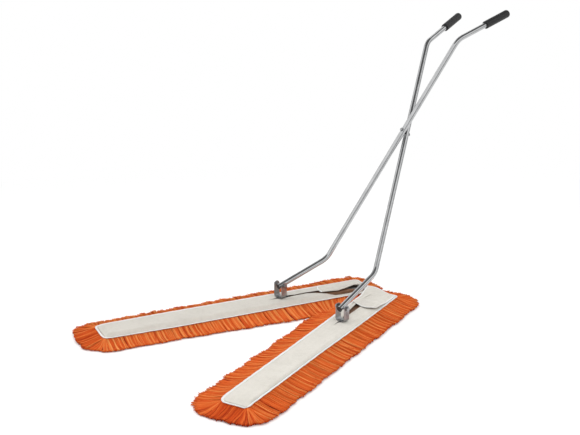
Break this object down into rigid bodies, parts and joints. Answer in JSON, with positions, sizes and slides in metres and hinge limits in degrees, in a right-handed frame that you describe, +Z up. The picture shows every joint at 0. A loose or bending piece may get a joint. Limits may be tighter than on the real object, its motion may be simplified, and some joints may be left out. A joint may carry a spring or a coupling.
{
  "type": "scissor dust mop",
  "caption": "Scissor dust mop: two long canvas-covered yarn heads hinged in a V and swept by bent steel tubes that cross at a pivot and end in grips.",
  "frame": {"origin": "on the floor, under the middle of the mop's overall box", "axes": "+Z up, +Y towards the grips, +X towards the left head; the V opens towards -Y"},
  "size_m": [0.962, 1.676, 1.0215],
  "materials": {
    "timber": "plain hardwood batten",
    "plated_steel": "zinc plated, satin",
    "fastener_steel": "zinc plated",
    "bright_tube": "bright drawn steel tube",
    "black_plastic": "moulded black",
    "grip_rubber": "satin black vinyl",
    "canvas": "off-white cotton canvas",
    "binding_tape": "white woven tape",
    "yarn": "orange cotton blend yarn"
  },
  "bodies": {
    "left_head": {"left_board": "timber", "left_hinge_leaf": "plated_steel", "left_leaf_screws": "fastener_steel", "left_bracket_plate": "plated_steel", "left_plate_screws": "fastener_steel", "left_swivel_stud": "fastener_steel", "left_swivel_spacer": "black_plastic", "left_base_cloth": "canvas", "left_top_cloth": "canvas", "left_binding": "binding_tape", "left_apex_pocket": "canvas", "left_yarn_pile": "yarn", "left_outer_fringe": "yarn", "left_inner_fringe": "yarn", "hinge_rivet": "fastener_steel", "hinge_washer": "fastener_steel"},
    "right_head": {"right_board": "timber", "right_hinge_leaf": "plated_steel", "right_leaf_screws": "fastener_steel", "right_bracket_plate": "plated_steel", "right_plate_screws": "fastener_steel", "right_swivel_stud": "fastener_steel", "right_swivel_spacer": "black_plastic", "right_base_cloth": "canvas", "right_top_cloth": "canvas", "right_binding": "binding_tape", "right_apex_pocket": "canvas", "right_yarn_pile": "yarn", "right_outer_fringe": "yarn", "right_inner_fringe": "yarn"},
    "left_bracket": {"left_bracket": "plated_steel"},
    "right_bracket": {"right_bracket": "plated_steel", "right_tilt_bolt": "fastener_steel", "right_tilt_nut": "fastener_steel", "right_tilt_washers": "fastener_steel"},
    "left_bolt": {"left_tilt_bolt": "fastener_steel", "left_tilt_nut": "fastener_steel", "left_tilt_washers": "fastener_steel"},
    "left_handle": {"left_tube": "bright_tube", "left_end_plug": "black_plastic", "left_grip": "grip_rubber", "pivot_bolt": "fastener_steel", "pivot_nut": "fastener_steel", "pivot_washers": "fastener_steel", "pivot_spacer": "black_plastic"},
    "right_handle": {"right_tube": "bright_tube", "right_end_plug": "black_plastic", "right_grip": "grip_rubber"}
  },
  "joints": [
    {"name": "apex_hinge", "type": "hinge", "parent": "left_head", "child": "right_head", "pos_m": [0, 0.20716, 0.0312], "axis": [0, 0, -1], "range_deg": [-25, 34], "deforming": ["left_inner_fringe", "right_inner_fringe"]},
    {"name": "left_swivel", "type": "hinge", "parent": "left_head", "child": "left_bracket", "pos_m": [0.15199, -0.10734, 0.0374], "axis": [0, 0, 1], "range_deg": [-18, 14]},
    {"name": "right_swivel", "type": "hinge", "parent": "right_head", "child": "right_bracket", "pos_m": [-0.15199, -0.10734, 0.0374], "axis": [0, 0, 1], "range_deg": [-14, 18]},
    {"name": "handle_tilt", "type": "hinge", "parent": "left_bracket", "child": "left_bolt", "pos_m": [0.15199, -0.10734, 0.0846], "axis": [1, 0, 0], "range_deg": [-20, 32]},
    {"name": "left_pan", "type": "hinge", "parent": "left_bolt", "child": "left_handle", "pos_m": [0.14799, -0.10734, 0.0846], "axis": [0, -0.8471, 0.5314], "range_deg": [-7, 9]},
    {"name": "scissor_pivot", "type": "hinge", "parent": "left_handle", "child": "right_handle", "pos_m": [0, 0.37383, 0.59657], "axis": [0, -0.8471, 0.5314], "range_deg": [-18, 14]}
  ],
  "couplings": [
    {"joint": "left_swivel", "follows": "apex_hinge", "ratio": -0.5},
    {"joint": "right_swivel", "follows": "apex_hinge", "ratio": 0.5},
    {"joint": "left_pan", "follows": "apex_hinge", "ratio": 0.2225},
    {"joint": "scissor_pivot", "follows": "apex_hinge", "ratio": -0.445}
  ]
}
